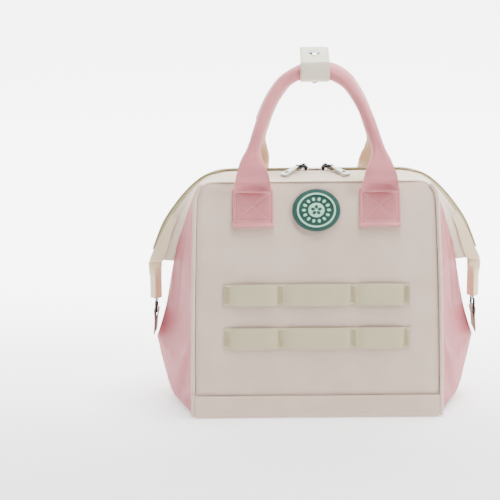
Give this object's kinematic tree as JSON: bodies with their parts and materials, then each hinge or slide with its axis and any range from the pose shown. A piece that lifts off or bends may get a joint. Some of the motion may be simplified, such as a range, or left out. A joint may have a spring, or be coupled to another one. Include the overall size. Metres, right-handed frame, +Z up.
{
  "type": "diaper bag",
  "caption": "Boxy soft diaper bag with a zipped wire-framed mouth, folding side gussets, front webbing, a round badge and wrapped carry handles.",
  "frame": {"origin": "centre of the footprint, on the floor under the bag", "axes": "+X to the right seen from the front, +Y to the rear, +Z up; the front with the badge faces -Y"},
  "size_m": [0.3482, 0.1537, 0.3702],
  "materials": {
    "cream_cloth": "padded plain-weave polyester",
    "pink_cloth": "padded plain-weave polyester",
    "lining_cloth": "thin smooth nylon",
    "piping_cloth": "bias-cut cloth over a cord",
    "webbing": "woven polypropylene webbing",
    "strap_webbing": "elastic webbing",
    "taupe_webbing": "woven webbing",
    "thread": "dense satin stitch",
    "badge_rubber": "soft moulded rubber",
    "badge_pale": "soft moulded rubber",
    "board": "stiff fibreboard",
    "steel_wire": "plain wire",
    "tape": "woven zip tape",
    "coil": "moulded nylon coil",
    "gunmetal": "gunmetal plating",
    "pull_metal": "satin zinc casting",
    "leather": "smooth coated leather",
    "rope": "twisted cotton rope"
  },
  "bodies": {
    "bag_base": {"base_panel": "cream_cloth", "base_board": "board", "base_lining": "lining_cloth", "corner_piping": "piping_cloth", "left_gusset": "pink_cloth", "right_gusset": "pink_cloth", "left_gusset_lining": "lining_cloth", "right_gusset_lining": "lining_cloth", "left_anchor_tab": "taupe_webbing", "right_anchor_tab": "taupe_webbing"},
    "front_side": {"front_panel": "cream_cloth", "front_lining": "lining_cloth", "front_piping": "piping_cloth", "upper_webbing": "webbing", "lower_webbing": "webbing", "webbing_bartacks": "thread", "badge_base": "badge_rubber", "badge_relief": "badge_pale", "front_left_tab": "pink_cloth", "front_right_tab": "pink_cloth"},
    "rear_side": {"rear_panel": "cream_cloth", "rear_lining": "lining_cloth", "rear_piping": "piping_cloth", "rear_left_tab": "pink_cloth", "rear_right_tab": "pink_cloth"},
    "front_mouth": {"front_placket": "cream_cloth", "front_wire": "steel_wire", "front_zip_tape": "tape", "front_zip_coil": "coil"},
    "rear_mouth": {"rear_placket": "cream_cloth", "rear_wire": "steel_wire", "rear_zip_tape": "tape", "rear_zip_coil": "coil"},
    "left_slider_body": {"left_slider": "gunmetal"},
    "right_slider_body": {"right_slider": "gunmetal"},
    "left_link_body": {"left_link": "gunmetal"},
    "right_link_body": {"right_link": "gunmetal"},
    "left_pull_body": {"left_pull": "pull_metal"},
    "right_pull_body": {"right_pull": "pull_metal"},
    "left_end": {"left_end_cap": "leather", "left_strap": "strap_webbing"},
    "right_end": {"right_end_cap": "leather", "right_strap": "strap_webbing"},
    "left_ring_body": {"left_ring": "gunmetal"},
    "right_ring_body": {"right_ring": "gunmetal"},
    "front_handle_body": {"front_handle": "pink_cloth", "front_handle_core": "rope", "wrap_sleeve": "leather", "snap_stud": "pull_metal"},
    "rear_handle_body": {"rear_handle": "pink_cloth", "rear_handle_core": "rope"},
    "flap_body": {"wrap_flap": "leather", "snap_cap": "pull_metal", "snap_socket": "pull_metal"}
  },
  "joints": [
    {"name": "mouth_open", "type": "hinge", "parent": "bag_base", "child": "front_side", "pos_m": [0, -0.075, 0.0242], "axis": [1, 0, 0], "range_deg": [0, 9]},
    {"name": "rear_side_tilt", "type": "hinge", "parent": "bag_base", "child": "rear_side", "pos_m": [0, 0.075, 0.0242], "axis": [1, 0, 0], "range_deg": [-9.01, 0]},
    {"name": "front_mouth_turn", "type": "hinge", "parent": "front_side", "child": "front_mouth", "pos_m": [0, -0.04, 0.24], "axis": [1, 0, 0], "range_deg": [0, 15.31]},
    {"name": "rear_mouth_turn", "type": "hinge", "parent": "rear_side", "child": "rear_mouth", "pos_m": [0, 0.04, 0.24], "axis": [1, 0, 0], "range_deg": [-15.31, 0]},
    {"name": "left_end_rise", "type": "slide", "parent": "bag_base", "child": "left_end", "axis": [0, 0, 1], "range_m": [0, 0.02358], "deforming": ["left_strap"]},
    {"name": "left_slider_travel", "type": "slide", "parent": "front_mouth", "child": "left_slider_body", "axis": [-1, 0, 0], "range_m": [0, 0.06678]},
    {"name": "left_link_swing", "type": "hinge", "parent": "left_slider_body", "child": "left_link_body", "pos_m": [-0.011, 0, 0.24895], "axis": [-0.766, 0.6428, 0], "range_deg": [0, 60]},
    {"name": "left_pull_swing", "type": "hinge", "parent": "left_link_body", "child": "left_pull_body", "pos_m": [-0.01678, -0.00689, 0.24926], "axis": [-0.766, 0.6428, 0], "range_deg": [0, 45]},
    {"name": "left_ring_swing", "type": "hinge", "parent": "bag_base", "child": "left_ring_body", "pos_m": [-0.1665, 0, 0.096], "axis": [0, 1, 0], "range_deg": [-10, 10]},
    {"name": "right_end_rise", "type": "slide", "parent": "bag_base", "child": "right_end", "axis": [0, 0, 1], "range_m": [0, 0.02358], "deforming": ["right_strap"]},
    {"name": "right_slider_travel", "type": "slide", "parent": "front_mouth", "child": "right_slider_body", "axis": [1, 0, 0], "range_m": [0, 0.06678]},
    {"name": "right_link_swing", "type": "hinge", "parent": "right_slider_body", "child": "right_link_body", "pos_m": [0.011, 0, 0.24895], "axis": [-0.766, -0.6428, 0], "range_deg": [0, 60]},
    {"name": "right_pull_swing", "type": "hinge", "parent": "right_link_body", "child": "right_pull_body", "pos_m": [0.01678, -0.00689, 0.24926], "axis": [-0.766, -0.6428, 0], "range_deg": [0, 45]},
    {"name": "right_ring_swing", "type": "hinge", "parent": "bag_base", "child": "right_ring_body", "pos_m": [0.1665, 0, 0.096], "axis": [0, 1, 0], "range_deg": [-10, 10]},
    {"name": "front_handle_fold", "type": "hinge", "parent": "front_side", "child": "front_handle_body", "pos_m": [0, -0.0495, 0.231], "axis": [1, 0, 0], "range_deg": [0, 135]},
    {"name": "rear_handle_fold", "type": "hinge", "parent": "rear_side", "child": "rear_handle_body", "pos_m": [0, 0.0495, 0.231], "axis": [1, 0, 0], "range_deg": [-135, 0]},
    {"name": "wrap_flap_lift", "type": "hinge", "parent": "front_handle_body", "child": "flap_body", "pos_m": [0, -0.0193, 0.3567], "axis": [1, 0, 0], "range_deg": [-17, 110]}
  ],
  "couplings": [
    {"joint": "rear_side_tilt", "follows": "mouth_open", "ratio": -1},
    {"joint": "front_mouth_turn", "follows": "mouth_open", "ratio": 1.7},
    {"joint": "rear_mouth_turn", "follows": "mouth_open", "ratio": -1.7},
    {"joint": "left_end_rise", "follows": "mouth_open", "m_per_rad": 0.15},
    {"joint": "left_slider_travel", "follows": "mouth_open", "m_per_rad": 0.425},
    {"joint": "right_end_rise", "follows": "mouth_open", "m_per_rad": 0.15},
    {"joint": "right_slider_travel", "follows": "mouth_open", "m_per_rad": 0.425}
  ]
}
